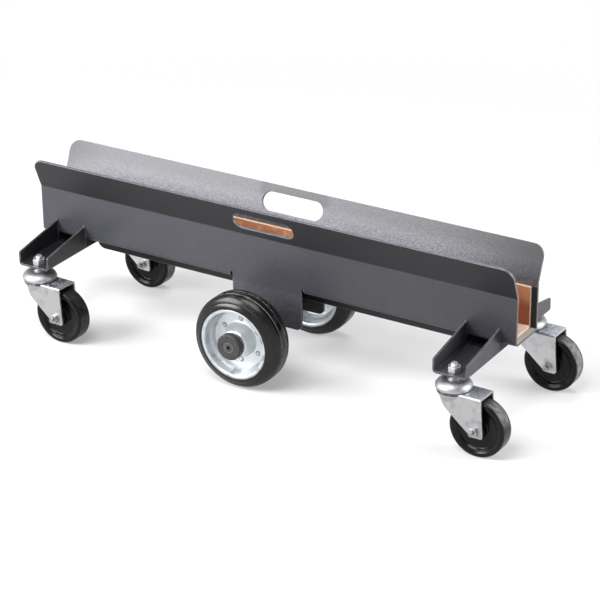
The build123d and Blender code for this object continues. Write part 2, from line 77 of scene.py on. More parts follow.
class Shader:
    """One material's nodes, with short calls for what the finishes share."""

    def __init__(self, name):
        self.material = bpy.data.materials.new(name)
        self.material.use_nodes = True
        self.tree = self.material.node_tree
        self.surface = self.tree.nodes["Principled BSDF"]
        coordinates = self.add("ShaderNodeTexCoord")
        self.place = coordinates.outputs["Object"]
        self.facing = coordinates.outputs["Normal"]

    def add(self, kind, **settings):
        """New node of a kind, with its settings."""
        node = self.tree.nodes.new(kind)
        for name, value in settings.items():
            setattr(node, name, value)
        return node

    def feed(self, socket, value):
        """Link another node's output to a socket, or set the socket's own value."""
        if isinstance(value, bpy.types.NodeSocket):
            self.tree.links.new(value, socket)
        elif socket.type == "RGBA":
            socket.default_value = (*value, 1.0)
        else:
            socket.default_value = value

    def set(self, **values):
        """Feed the surface shader's sockets, named with _ for a space."""
        for name, value in values.items():
            self.feed(self.surface.inputs[name.replace("_", " ").title()], value)

    def shine(self, level):
        """Feed the strength of the reflections of a surface that isn't metal."""
        self.feed(self.surface.inputs["Specular IOR Level"], level)

    def noise(self, size, detail=2.0, place=None):
        """Noise from 0 to 1 with blotches of about that size."""
        node = self.add("ShaderNodeTexNoise")
        self.feed(node.inputs["Vector"], place or self.place)
        self.feed(node.inputs["Scale"], 1 / size)
        self.feed(node.inputs["Detail"], detail)
        return node.outputs["Fac"]

    def calc(self, operation, *values):
        """One step of arithmetic."""
        node = self.add("ShaderNodeMath", operation=operation)
        for socket, value in zip(node.inputs, values):
            self.feed(socket, value)
        return node.outputs[0]

    def times(self, *factors):
        """Product of several values."""
        product = factors[0]
        for factor in factors[1:]:
            product = self.calc("MULTIPLY", product, factor)
        return product

    def apart(self, one, two):
        """How far two values are apart."""
        return self.calc("ABSOLUTE", self.calc("SUBTRACT", one, two))

    def vector(self, operation, *values):
        """One step of vector arithmetic."""
        node = self.add("ShaderNodeVectorMath", operation=operation)
        for socket, value in zip(node.inputs, values):
            self.feed(socket, value)
        return node.outputs["Value" if operation in ("DOT_PRODUCT", "LENGTH") else "Vector"]

    def scaled(self, vector, factor):
        """Vector or colour times a number."""
        node = self.add("ShaderNodeVectorMath", operation="SCALE")
        self.feed(node.inputs[0], vector)
        self.feed(node.inputs["Scale"], factor)
        return node.outputs["Vector"]

    def split(self, vector):
        """The X, Y and Z of a vector."""
        node = self.add("ShaderNodeSeparateXYZ")
        self.feed(node.inputs[0], vector)
        return node.outputs

    def join(self, x, y, z):
        """Vector from its X, Y and Z."""
        node = self.add("ShaderNodeCombineXYZ")
        for socket, value in zip(node.inputs, (x, y, z)):
            self.feed(socket, value)
        return node.outputs[0]

    def ramp(self, value, start, end, low=0.0, high=1.0):
        """low at start, high at end, smooth between and level outside."""
        node = self.add("ShaderNodeMapRange", interpolation_type="SMOOTHSTEP")
        for socket, number in zip(node.inputs, (value, start, end, low, high)):
            self.feed(socket, number)
        return node.outputs[0]

    def mix(self, factor, first, second):
        """Colour between two others."""
        node = self.add("ShaderNodeMix", data_type="RGBA")
        self.feed(node.inputs["Factor"], factor)
        self.feed(node.inputs[6], first)
        self.feed(node.inputs[7], second)
        return node.outputs[2]

    def bump(self, height, depth, under=None):
        """Surface normal of a relief of that depth, on top of another normal."""
        node = self.add("ShaderNodeBump")
        self.feed(node.inputs["Height"], height)
        self.feed(node.inputs["Distance"], depth)
        if under:
            self.feed(node.inputs["Normal"], under)
        return node.outputs["Normal"]

    def rounded(self, radius):
        """Normal with its corners rounded off, and how near a corner is, from 0 to 1."""
        node = self.add("ShaderNodeBevel", samples=4)
        self.feed(node.inputs["Radius"], radius)
        flat = self.add("ShaderNodeNewGeometry").outputs["Normal"]
        corner = self.ramp(self.vector("DOT_PRODUCT", node.outputs[0], flat), 0.995, 0.8)
        return node.outputs[0], corner

    def about(self, joint):
        """Distance along a joint's axis from its middle, and distance from that axis."""
        centre = Vector(joints[joint]["pos_m"])
        axis = Vector(joints[joint]["axis"])
        out = self.vector("SUBTRACT", self.place, centre)
        along = self.vector("DOT_PRODUCT", out, axis)
        radius = self.vector("LENGTH", self.vector("SUBTRACT", out, self.scaled(axis, along)))
        return along, radius

    def turn(self, joint):
        """Angle round a wheel's axle, from straight up towards +X."""
        centre = Vector(joints[joint]["pos_m"])
        out = self.split(self.vector("SUBTRACT", self.place, centre))
        return self.calc("ARCTAN2", out["X"], out["Z"])

    def near_ring(self, joint, circle, count):
        """Distance to the nearest of some lines along a joint's axis.

        They are spaced evenly on a circle about it, one of them straight up.
        """
        fold = self.calc("PINGPONG", self.turn(joint), pi / count)
        radius = self.about(joint)[1]
        aside = self.times(radius, self.calc("SINE", fold))
        out = self.calc("SUBTRACT", self.times(radius, self.calc("COSINE", fold)), circle)
        return self.vector("LENGTH", self.join(aside, out, 0.0))


def frame_dust_and_light(s, clean, specks):
    """The coat's colour with its dust and with painted light and shade, and where there is no dust: behind
    the lining and under the lips.
    """
    along, sideways, height = s.split(s.place)
    outward = s.calc("ABSOLUTE", along)
    across = s.calc("ABSOLUTE", sideways)
    upward = s.split(s.facing)["Z"]
    flat = s.ramp(upward, 0.7, 0.9)

    # Where each change in the dust and in the painted light and shade starts, and where it has come in fully
    left_half = (130 * mm, 20 * mm)
    beam_height = (200 * mm, 180 * mm)
    settling_height = (160 * mm, 220 * mm)
    left_end = (-470 * mm, -350 * mm)
    right_end = (460 * mm, 250 * mm)
    slot_end = (75 * mm, 55 * mm)
    slot_top = (257 * mm, 265 * mm)
    lip_height = (270 * mm, 232 * mm)
    beam_floor = (130 * mm, 120 * mm)
    beam_root = (130 * mm, 95 * mm)
    shaded_left_beam = (-200 * mm, -300 * mm)

    inner = s.ramp(across, wall_y - 1 * mm, wall_y - 2 * mm)
    above_lining = s.times(inner, s.ramp(height, lining_top - 1 * mm, lining_top + 1 * mm))
    below_lining = s.times(inner, s.ramp(height, lining_top + 1 * mm, lining_top - 1 * mm))
    lip = s.ramp(height, wall_top - 1 * mm, wall_top + 2 * mm)
    # Under the lips the coat has no dust and is darker, partly as painted shade
    bare = s.calc("MAXIMUM", below_lining, s.times(lip, s.ramp(upward, -0.1, -0.3)))

    # Thin dust all over, more of it on the left half, on the beams and under the channel, where it is painted
    # light against the shade too
    dust = s.mix(s.noise(70 * mm, detail=3.0), (0.027, 0.027, 0.033), (0.038, 0.038, 0.046))
    dust = s.mix(s.times(specks, 0.3), dust, (0.063, 0.063, 0.075))
    dust = s.scaled(dust, s.ramp(along, *left_half, 1.0, 1.28))
    thick_dust = s.mix(specks, (0.058, 0.058, 0.067), (0.146, 0.146, 0.168))
    on_beams = s.times(s.ramp(across, wall_y + 1 * mm, wall_y + 3 * mm), s.ramp(height, *beam_height))
    under_channel_dust_and_light = s.ramp(height, channel_floor - 4 * mm, channel_floor - 9 * mm)
    dust = s.mix(s.times(s.calc("MAXIMUM", on_beams, under_channel_dust_and_light), 0.2), dust, thick_dust)

    # Thick dust above the lining and on what looks up
    settled = s.times(s.ramp(upward, 0.1, 0.35), s.ramp(height, *settling_height))
    dust = s.mix(s.calc("MAXIMUM", above_lining, settled), dust, thick_dust)

    # On the sloping lips it is lighter low down as painted light against the near lip's shade, darker towards
    # the left end, darker towards the right end as a painted fall-off of light, and darker above the hand
    # slots as painted shade
    lit_low_down = s.ramp(height, *lip_height, 0.83, 1.9)
    from_left = s.ramp(along, *left_end, 0.35, 1.0)
    light_falloff_right = s.ramp(along, *right_end, 0.22, 1.0)
    over_slot = s.times(s.ramp(outward, *slot_end), s.ramp(height, *slot_top))
    shaded_over_slot = s.ramp(over_slot, 0.0, 1.0, 1.0, 0.5)
    lip_dust_and_light = s.scaled(thick_dust, s.times(lit_low_down, from_left, light_falloff_right, shaded_over_slot))
    dust = s.mix(s.times(settled, s.ramp(upward, 0.6, 0.4)), dust, lip_dust_and_light)

    # Painted shade: a little less dust on the beams' floors near the channel, and much less on the left beam,
    # so they are darker
    shaded_beam_floor = s.times(flat, s.ramp(height, *beam_floor), s.ramp(across, *beam_root))
    dust = s.mix(shaded_beam_floor, dust, clean)
    dust = s.mix(s.times(on_beams, s.ramp(along, *shaded_left_beam), 0.75), dust, clean)
    coat = s.mix(bare, dust, clean)

    # Painted light: pale on the channel's floor past the ends of the lining
    on_floor = s.times(flat, s.ramp(height, channel_floor + 3 * mm, channel_floor + 1 * mm))
    lit_past_lining = s.times(on_floor, s.ramp(outward, lining_end, lining_end + 1 * mm))
    return s.mix(lit_past_lining, coat, (0.42, 0.40, 0.37)), bare


def powder_coat(name, undusted_shaded=False):
    """Dark grey powder coat with a sandy grain, worn pale on its edges with painted highlights there, painted
    light on the plates' end faces, and dust with painted light and shade on it, except on the coat kept free
    of dust, whose darkness is partly painted shade.
    """
    s = Shader(name)
    grain = s.noise(1.1 * mm, detail=4.0)
    specks = s.ramp(s.noise(1.9 * mm, detail=2.0), 0.35, 0.65)
    rounded, corner = s.rounded(1.6 * mm)
    # Pale worn corners, partly painted highlights on the edges
    wear_and_highlight = s.times(corner, s.ramp(s.noise(9 * mm), 0.3, 0.6, 0.3, 0.8))
    coat = s.mix(grain, (0.009, 0.009, 0.011), (0.015, 0.015, 0.017))
    roughness = s.ramp(specks, 0.0, 1.0, 0.35, 0.41)
    shine = 0.3
    if not undusted_shaded:
        coat, bare = frame_dust_and_light(s, coat, specks)
        # Painted light: the plates' end faces paler
        endward = s.calc("ABSOLUTE", s.split(s.facing)["X"])
        outward = s.calc("ABSOLUTE", s.split(s.place)["X"])
        lit_plate_end = s.ramp(outward, plate_end - 6 * mm, plate_end - 4 * mm)
        wear_and_highlight = s.calc("MAXIMUM", wear_and_highlight, s.times(s.ramp(endward, 0.7, 0.9), lit_plate_end, 0.3))
        roughness = s.calc("MULTIPLY_ADD", bare, 0.2, roughness)
        shine = s.ramp(bare, 0.0, 1.0, 0.5, 0.43)
    s.set(base_color=s.mix(wear_and_highlight, coat, (0.42, 0.41, 0.41)), roughness=roughness)
    s.set(normal=s.bump(grain, 0.008 * mm, rounded))
    s.shine(shine)
    return s.material


def lining_board(name, film, film_lit, stack, deep=None):
    """Film-faced board: a thin coloured film on its two faces, and bare plies on its cut edges.

    stack is the axis across its plies. deep is the colour of a side board's film low in the channel, painted
    shade that darkens it downwards. The back of such a board, against the channel's wall, is painted dark as
    shade.
    """
    s = Shader(name)
    streaks_per_metre = Vector((9, 320, 320))
    ply = 0.65 * mm
    shaded_down_to = (210 * mm, 182 * mm)
    through = s.split(s.place)[stack]
    facing = s.split(s.facing)[stack]
    streaks = s.noise(1.0, detail=5.0, place=s.vector("MULTIPLY", s.place, streaks_per_metre))
    scuffs = s.ramp(s.noise(13 * mm, detail=5.0), 0.44, 0.66)
    colour = s.mix(streaks, film, film_lit)
    colour = s.mix(s.times(scuffs, 0.6), colour, (0.70, 0.44, 0.24))
    if deep:
        # Painted shade: the film darker low in the channel
        colour = s.mix(s.ramp(s.split(s.place)["Z"], *shaded_down_to), colour, deep)
        # Painted shade: the board's back, against the wall, near black
        colour = s.mix(s.ramp(s.times(through, facing), 0.0, 10 * mm), colour, (0.008, 0.007, 0.006))
    plies = s.calc("SINE", s.times(through, pi / ply))
    wood = s.mix(s.ramp(plies, -0.6, 0.6), (0.78, 0.58, 0.42), (0.90, 0.76, 0.60))
    wood = s.mix(s.times(s.noise(3 * mm, detail=4.0), 0.3), wood, (0.60, 0.40, 0.26))
    cut = s.ramp(s.calc("ABSOLUTE", facing), 0.75, 0.6)
    s.set(base_color=s.mix(cut, colour, wood), roughness=s.ramp(streaks, 0.3, 0.7, 0.38, 0.55))
    s.set(normal=s.bump(streaks, 0.08 * mm, s.rounded(0.6 * mm)[0]))
    return s.material


def bolt_thread(s, colour, relief, joint):
    """A bolt's colour and relief with a thread on its nut's side, along a caster wheel's axle."""
    start = -60 * mm
    end = -21 * mm
    pitch = 1.25 * mm
    along = s.about(joint)[0]
    inside = s.times(s.calc("GREATER_THAN", along, start), s.calc("LESS_THAN", along, end))
    ridge = s.calc("PINGPONG", along, pitch / 2)
    relief = s.bump(s.times(ridge, inside), 1.0, relief)
    return s.mix(s.times(inside, 0.5), colour, (0.20, 0.20, 0.20)), relief


def rim_marks(s, colour, joint):
    """A rim's colour with a paler dish, dirt and painted shade round each rivet, and dirt and painted shade
    in dark blotches towards its edge.
    """
    dish_edge = (44 * mm, 52 * mm)
    grime_and_shade_edge = (5.0 * mm, 3.7 * mm)
    edge = s.ramp(s.about(joint)[1], *dish_edge)
    colour = s.mix(s.ramp(edge, 0.0, 1.0, 0.5, 0.0), colour, (0.74, 0.77, 0.79))
    # Dirt and painted shade round each rivet
    grime_and_shade = s.ramp(s.near_ring(joint, rivet_circle, rivet_count), *grime_and_shade_edge)
    colour = s.mix(s.times(grime_and_shade, 0.85), colour, (0.06, 0.06, 0.06))
    # Dirt and painted shade in dark blotches towards the rim's edge
    shade_patches = s.times(edge, s.ramp(s.noise(20 * mm, detail=3.0), 0.52, 0.66))
    return s.mix(s.times(shade_patches, 0.7), colour, (0.20, 0.21, 0.22))


def fork_marks(s, colour, corner_name, amount):
    """A fork's colour with dirt on top round the swivel head, a painted shadow ring under that head's edge,
    and dirt and painted shade in the gap under that head.
    """
    dirt = (0.03, 0.03, 0.03)
    ring_r = 30 * mm
    race_r = 27 * mm
    race_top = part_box("fork_" + corner_name)[1].z
    radius = s.about("swivel_turn_" + corner_name)[1]
    off_ring = s.apart(radius, ring_r)
    crumbs = s.times(s.ramp(off_ring, 40 * mm, 4 * mm), s.ramp(s.noise(5 * mm, detail=5.0), 0.42, 0.58))
    # Painted shadow: a dark ring on the crown under the head's edge
    line = s.ramp(off_ring, 2.5 * mm, 1.0 * mm)
    dirt_and_shadow = s.times(s.calc("MAXIMUM", crumbs, line), s.ramp(s.split(s.facing)["Z"], 0.5, 0.8))
    colour = s.mix(s.times(dirt_and_shadow, amount), colour, dirt)
    # Dirt and painted shade in the gap under the head
    gap = s.ramp(s.split(s.place)["Z"], race_top - 5.0 * mm, race_top - 3.8 * mm)
    on_race = s.ramp(radius, race_r + 1.0 * mm, race_r + 0.3 * mm)
    patchy = s.ramp(s.noise(12 * mm, detail=3.0), 0.4, 0.55, 0.35, 0.85)
    return s.mix(s.times(gap, on_race, patchy), colour, dirt)


def zinc(name, tint, dull, gloss, top=None, soft=0.8 * mm, thread=None, rivets=None, fork=None):
    """Zinc plate: mottled metal with stains and pits.

    tint is its colour, dull its colour where it is stained, and top the colour of faces that look up, painted
    light.
    gloss is about its roughness, and soft is how far from a corner its rounding starts.
    thread is the joint of a threaded bolt, rivets the joint of a wheel with rivets, and fork (corner, amount)
    a fork with that much dirt and painted shade on it.
    """
    s = Shader(name)
    spangle = s.noise(2.5 * mm, detail=3.0)
    stains = s.ramp(s.noise(14 * mm, detail=5.0), 0.5, 0.75)
    pits = s.ramp(s.noise(1.8 * mm, detail=0.0), 0.77, 0.80)
    rounded, corner = s.rounded(soft)
    colour = s.mix(s.times(stains, 0.6), tint, dull)
    # Painted light: faces that look up take the top colour
    if top:
        colour = s.mix(s.ramp(s.split(s.facing)["Z"], 0.6, 0.95), colour, top)
    colour = s.mix(s.times(pits, 0.6), colour, (0.14, 0.14, 0.14))
    colour = s.mix(s.times(corner, 0.5), colour, (0.85, 0.85, 0.85))
    relief = s.bump(s.noise(24 * mm, detail=1.0), 0.2 * mm, rounded)
    if thread:
        colour, relief = bolt_thread(s, colour, relief, thread)
    if rivets:
        colour = rim_marks(s, colour, rivets)
    if fork:
        colour = fork_marks(s, colour, *fork)
    s.set(base_color=colour, metallic=1.0)
    s.set(roughness=s.ramp(spangle, 0.3, 0.7, gloss - 0.06, gloss + 0.08), normal=relief)
    return s.material


def tyre_rubber():
    """Black tyre rubber with a fine grain, dust on its tread, and grey where band and corners are rubbed,
    with a painted highlight along the band's edges.
    """
    s = Shader("tyre_rubber")
    radius = s.about("wheel_roll_front")[1]
    from_middle = s.apart(s.calc("ABSOLUTE", s.split(s.place)["Y"]), wheel_y)
    grain = s.noise(0.8 * mm, detail=3.0)
    dust = s.ramp(s.noise(18 * mm, detail=5.0), 0.45, 0.75)
    tread = s.ramp(radius, tyre_r - 5 * mm, tyre_r - 2 * mm)
    band_edge = s.ramp(s.apart(from_middle, band_half), 1.4 * mm, 0.4 * mm)
    rubbed = s.times(band_edge, tread, s.ramp(s.noise(6 * mm, detail=3.0), 0.3, 0.6))
    rounded, corner = s.rounded(0.6 * mm)
    scraped = s.ramp(s.noise(12 * mm, detail=4.0), 0.35, 0.65, 0.3, 1.0)
    colour = s.mix(grain, (0.003, 0.003, 0.003), (0.006, 0.006, 0.006))
    # Grey on the band's edges, rubbed and a painted highlight
    colour = s.mix(s.times(rubbed, 0.8), colour, (0.30, 0.29, 0.28))
    greyed = s.times(dust, s.calc("MULTIPLY_ADD", tread, 0.15, 0.03))
    colour = s.mix(greyed, colour, (0.08, 0.078, 0.075))
    colour = s.mix(s.times(corner, scraped), colour, (0.12, 0.117, 0.112))
    s.set(base_color=colour, roughness=s.ramp(dust, 0.0, 1.0, 0.22, 0.34))
    s.set(normal=s.bump(grain, 0.01 * mm, rounded))
    s.shine(0.33)
    return s.material


def caster_plastic(corner_name, amount, reach):
    """Black moulded wheel, glossy on its sides, with dust and a painted sheen in streaks along the tread.

    The dust and the painted sheen lie between the wheel's top and reach, an angle from there towards +X.
    """
    s = Shader("caster_plastic_" + corner_name)
    streaks_per_metre = 500
    streaks_per_radian = 4
    full_dust_and_sheen_turn = 0.7
    tread_width = (13 * mm, 7 * mm)
    joint = "caster_roll_" + corner_name
    along, radius = s.about(joint)
    turn = s.turn(joint)
    round_tread = s.join(s.times(along, streaks_per_metre), s.times(turn, streaks_per_radian), 0.0)
    streaks = s.noise(1.0, detail=4.0, place=round_tread)
    blotches = s.noise(7 * mm, detail=4.0)
    tread = s.ramp(radius, caster_r - 2.0 * mm, caster_r - 0.4 * mm)
    rounded, corner = s.rounded(0.8 * mm)
    rubbed = s.calc("ADD", s.times(streaks, 0.7), s.times(blotches, 0.3))
    streaked = s.ramp(rubbed, 0.34, 0.64, 0.15 * amount, amount)
    # Dust and a painted sheen on the tread's upper side, fading out by reach
    dust_and_sheen = s.times(s.ramp(turn, 0.0, full_dust_and_sheen_turn), s.ramp(turn, reach, 0.7 * reach, 0.12, 1.0))
    dust_and_sheen = s.times(dust_and_sheen, s.ramp(s.calc("ABSOLUTE", along), *tread_width))
    worn = s.times(tread, dust_and_sheen, streaked)
    colour = s.mix(blotches, (0.004, 0.003, 0.003), (0.008, 0.007, 0.007))
    # Painted highlight: paler corners
    colour = s.mix(s.times(corner, 0.4), colour, (0.06, 0.06, 0.06))
    colour = s.mix(worn, colour, (0.52, 0.51, 0.505))
    s.set(base_color=colour, roughness=s.ramp(worn, 0.0, 0.6, 0.18, 0.45))
    s.set(normal=s.bump(blotches, 0.02 * mm, rounded))
    s.shine(0.18)
    return s.material


def dark_plastic(name, colour, worn, gloss, ring=None):
    """Small black or grey piece with a fine grain and corners of a worn colour.

    ring is (radius, width) of a ring of that colour about the middle wheels' axle, with painted shade in the
    socket in it.
    """
    s = Shader(name)
    shaded_socket_edge = (3.6 * mm, 2.6 * mm)
    grain = s.noise(0.7 * mm, detail=3.0)
    smears = s.noise(9 * mm, detail=3.0)
    rounded, corner = s.rounded(0.7 * mm)
    tint = s.mix(s.ramp(smears, 0.35, 0.7, 0.0, 0.5), colour, worn)
    tint = s.mix(s.times(corner, 0.6), tint, worn)
    if ring:
        middle, width = ring
        radius = s.about("wheel_roll_front")[1]
        tint = s.mix(s.ramp(s.apart(radius, middle), width, width / 3, 0.0, 0.9), tint, worn)
        # Painted shade in the socket
        tint = s.mix(s.ramp(radius, *shaded_socket_edge), tint, (0.003, 0.003, 0.003))
    s.set(base_color=tint, roughness=s.ramp(smears, 0.3, 0.7, gloss, gloss + 0.15))
    s.set(normal=s.bump(grain, 0.02 * mm, rounded))
    return s.material


# Finishes, by how the node's name starts. A film is two colours, with streaks between them.
# Any other tint is a colour, the colour where it is stained or worn, and a roughness
coat = powder_coat("grey_powder_coat")
# Coat without dust for the rib and its welds under the channel, its darkness partly painted shade
undusted_shaded_coat = powder_coat("undusted_shaded_powder_coat", undusted_shaded=True)
red_film = ((0.42, 0.155, 0.072), (0.58, 0.28, 0.15))
# Painted shade on the side boards' film low in the channel
shaded_deep_red = (0.31, 0.092, 0.042)
pale_film = ((0.80, 0.60, 0.48), (0.90, 0.76, 0.65))
bright = ((0.60, 0.605, 0.62), (0.36, 0.365, 0.38), 0.36)
head_tint = ((0.41, 0.41, 0.42), (0.30, 0.30, 0.31), 0.45)
small = ((0.42, 0.42, 0.43), (0.25, 0.25, 0.26), 0.30)
fork_tint = ((0.40, 0.40, 0.405), (0.22, 0.22, 0.23), 0.48)
# Back forks paler, painted light
back_fork_lit_tint = ((0.56, 0.56, 0.57), (0.36, 0.36, 0.37), 0.48)
fresh = ((0.58, 0.58, 0.59), (0.40, 0.40, 0.41), 0.45)
rim_tint = ((0.56, 0.585, 0.60), (0.42, 0.45, 0.47), 0.48)
black_screw = ((0.03, 0.028, 0.028), (0.13, 0.115, 0.115), 0.3)
screw_ring = (8.2 * mm, 1.2 * mm)
finishes = {
    "side_plate": coat,
    "cross_beam": coat,
    "spine_rib": undusted_shaded_coat,
    "axle_tube": coat,
    "lining_floor": lining_board("pale_board", *pale_film, "Z"),
    "lining": lining_board("red_board", *red_film, "Y", deep=shaded_deep_red),
    "tyre": tyre_rubber(),
    "rim": zinc("rim_zinc", *rim_tint, soft=3 * mm, rivets="wheel_roll_front"),
    "rim_rivets": zinc("rivet_zinc", *rim_tint),
    "swivel_head": zinc("head_zinc", *head_tint, top=(0.40, 0.40, 0.405)),
    "kingpin": zinc("kingpin_zinc", *fresh, top=(0.62, 0.62, 0.63)),
    "caster_nut": zinc("nut_zinc", *small),
    "hub_cap_screws": dark_plastic("black_screw", *black_screw, ring=screw_ring),
    "hub_cap": dark_plastic("grey_cap", (0.022, 0.022, 0.025), (0.060, 0.060, 0.066), 0.45),
    "caster_bush": dark_plastic("grey_bush", (0.12, 0.12, 0.12), (0.2, 0.2, 0.2), 0.5),
    "wheel_axle": zinc("bare_steel", (0.50, 0.50, 0.51), (0.28, 0.27, 0.26), 0.34),
    "roller_bearing": zinc("roller_steel", (0.56, 0.56, 0.57), (0.35, 0.35, 0.34), 0.28),
    "swivel_balls": zinc("ball_steel", (0.60, 0.60, 0.61), (0.45, 0.45, 0.45), 0.15),
    "": zinc("bright_zinc", *bright),
}

# Dust and a painted sheen on each caster's tread, as its amount and the angle it reaches, and dirt and
# painted shade on each fork
tread_dust_and_sheen = {
    "front_left": (0.08, 2.2),
    "front_right": (0.5, 1.45),
    "back_left": (0.3, 2.2),
    "back_right": (0.62, 2.2),
}
fork_dirt_and_shade = {"front_left": 0.8, "front_right": 0.3, "back_left": 0.6, "back_right": 0.45}
# Painted light on the forks' faces that look up
fork_lit_top = (0.64, 0.65, 0.71)
for corner in corners:
    plating = back_fork_lit_tint if corner.startswith("back") else fork_tint
    finishes["fork_" + corner] = zinc(
        "zinc_fork_" + corner, *plating, top=fork_lit_top, fork=(corner, fork_dirt_and_shade[corner])
    )
    finishes["caster_wheel_" + corner] = caster_plastic(corner, *tread_dust_and_sheen[corner])
    finishes["caster_bolt_" + corner] = zinc("zinc_bolt_" + corner, *small, thread="caster_roll_" + corner)
for name, node in nodes.items():
    start = max((start for start in finishes if name.startswith(start)), key=len)
    node.data.materials.clear()
    node.data.materials.append(finishes[start])


# Weld beads: sizes of the bead, of its ripples and of its tapered ends
bead_r = 1.5 * mm
bead_pitch = 2.6 * mm
bead_step = 0.5 * mm
bead_sides = 10
ripple_low = 0.86
ripple_rise = 0.22
end_share = 0.35
end_rise = 0.25


def bead(name, path, finish, closed=False):
    """Rippled weld bead along a path of evenly spaced points, painted over with the frame."""
    mesh = bmesh.new()
    rings = []
    travelled = 0.0
    for i, point in enumerate(path):
        before = path[i - 1] if i or closed else point
        after = path[(i + 1) % len(path)] if i + 1 < len(path) or closed else point
        along = (after - before).normalized()
        side = along.orthogonal().normalized()
        travelled += (point - before).length
        ripple = ripple_low + ripple_rise * ((travelled / bead_pitch) % 1.0)
        from_end = min(i, len(path) - 1 - i)
        ends = 1.0 if closed else min(1.0, end_share + end_rise * from_end)
        ring = []
        for turn in range(bead_sides):
            spoke = Quaternion(along, 2 * pi * turn / bead_sides) @ side
            ring.append(mesh.verts.new(point + spoke * bead_r * ripple * ends))
        rings.append(ring)
    pairs = list(zip(rings, rings[1:]))
    if closed:
        pairs.append((rings[-1], rings[0]))
    for one, two in pairs:
        for turn in range(bead_sides):
            after = (turn + 1) % bead_sides
            mesh.faces.new((one[turn], one[after], two[after], two[turn]))
    if not closed:
        mesh.faces.new(reversed(rings[0]))
        mesh.faces.new(rings[-1])
    data = bpy.data.meshes.new(name)
    mesh.to_mesh(data)
    mesh.free()
    data.shade_smooth()
    data.materials.append(finish)
    piece = bpy.data.objects.new(name, data)
    bpy.context.scene.collection.objects.link(piece)
    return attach(piece, "frame")


def steps(points):
    """Evenly spaced points along straight stretches."""
    path = []
    for start, end in zip(points, points[1:]):
        count = max(1, round((end - start).length / bead_step))
        path += [start.lerp(end, n / count) for n in range(count)]
    return path + [points[-1]]


# Beads where the cross beams' upright plates meet the channel walls
wall_foot = channel_floor - 2 * mm
plate_top = 168 * mm
beam_sheet = 3 * mm
for end in ("left", "right"):
    low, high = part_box("cross_beam_" + end)
    plates = (("left", low.x, low.x + beam_sheet), ("right", high.x, high.x - beam_sheet))
    for side, y in (("front", -wall_y), ("back", wall_y)):
        for plate, outer, inner in plates:
            outline = [
                Vector((outer, y, wall_foot)),
                Vector((outer, y, plate_top)),
                Vector((inner, y, plate_top)),
                Vector((inner, y, wall_foot)),
            ]
            bead(f"weld_{end}_beam_{side}_{plate}", steps(outline), coat)

# Ring beads round the axle tube on the outside of both tabs
low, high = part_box("axle_tube")
tube_r = (high.x - low.x) / 2
tube_z = (high.z + low.z) / 2
ring_points = 180
for side, y in (("front", -wall_y), ("back", wall_y)):
    spots = [2 * pi * n / ring_points for n in range(ring_points)]
    ring = [Vector((tube_r * cos(turn), y, tube_z + tube_r * sin(turn))) for turn in spots]
    bead(f"weld_axle_{side}", ring, coat, closed=True)

# Stitch beads along both sides of the spine rib, under the channel
low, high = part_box("spine_rib")
stitch = 40 * mm
stitches = 6
gap = (high.x - low.x - stitch) / (stitches - 1)
for side, y in (("front", low.y), ("back", high.y)):
    for n in range(stitches):
        start = Vector((low.x + n * gap, y, high.z))
        bead(f"weld_rib_{side}_{n + 1}", steps([start, start + Vector((stitch, 0, 0))]), undusted_shaded_coat)


def revolved(
    name, section, joint, turns, finish, notched=(), notch=0.0, solid=False, places=(Vector(),)
):
    """Piece made by turning a section of (radius, distance along) points about a joint's axis.

    The section is closed, or with solid it is open and both its ends are capped.
    Its points numbered in notched are lower by notch at every other turn.
    places are where copies of it stand, from the joint's middle.
    """
    axis = Vector(joints[joint]["axis"])
    mesh = bmesh.new()
    for place in places:
        centre = Vector(joints[joint]["pos_m"]) + place
        rings = []
        for turn in range(turns):
            spoke = Quaternion(axis, 2 * pi * turn / turns) @ axis.orthogonal().normalized()
            ring = []
            for n, (radius, along) in enumerate(section):
                drop = notch if n in notched and turn % 2 else 0.0
                ring.append(mesh.verts.new(centre + spoke * (radius - drop) + axis * along))
            rings.append(ring)
        for one, two in zip(rings, rings[1:] + rings[:1]):
            for n in range(len(section) - solid):
                after = (n + 1) % len(section)
                mesh.faces.new((one[n], one[after], two[after], two[n]))
        if solid:
            mesh.faces.new([ring[0] for ring in rings])
            mesh.faces.new([ring[-1] for ring in rings])
    bmesh.ops.recalc_face_normals(mesh, faces=mesh.faces)
    data = bpy.data.meshes.new(name)
    mesh.to_mesh(data)
    mesh.free()
    data.shade_smooth()
    data.set_sharp_from_angle(angle=crease)
    data.materials.append(finish)
    piece = bpy.data.objects.new(name, data)
    bpy.context.scene.collection.objects.link(piece)
    return piece


def both_sides(half):
    """Closed section from one half of it, mirrored in the wheel's middle plane."""
    return [(point.x, -point.y) for point in half] + [(point.x, point.y) for point in reversed(half)]


# Tyres with stepped sidewalls and a notched band round the tread, in place of the plain CAD tyres.
# Sections are half ones, each point (radius, distance from the wheel's middle plane)
band_rise = 0.6 * mm
notch = 0.3 * mm
tyre_turns = 288
bead_seat = ((53.2, 9), (57.2, 15.5), (57.2, 24.8), (60.7, 24.8), (60.7, 28.5))
sidewall_foot = Vector((61.75, 28.5)) * mm
shoulder = Vector((74, 21)) * mm
band_foot = Vector((tyre_r - band_rise, band_half))
sidewall_points = 120
steps_start = 0.28
steps_end = 0.82
step_count = 6
step_rise = 0.8 * mm
step_edge = 0.82


def arc(start, through, end, count):
    """Points along the circle through three points, each with the unit vector away from the centre."""
    first = through - start
    last = end - start
    twice_area = 2 * (first.x * last.y - first.y * last.x)
    turned_first = Vector((first.y, -first.x)) * last.length_squared
    turned_last = Vector((last.y, -last.x)) * first.length_squared
    to_centre = (turned_last - turned_first) / twice_area
    sweep = (-to_centre).angle_signed(last - to_centre)
    for n in range(count + 1):
        spoke = Matrix.Rotation(-sweep * n / count, 2) @ -to_centre
        yield start + to_centre + spoke, spoke.normalized()


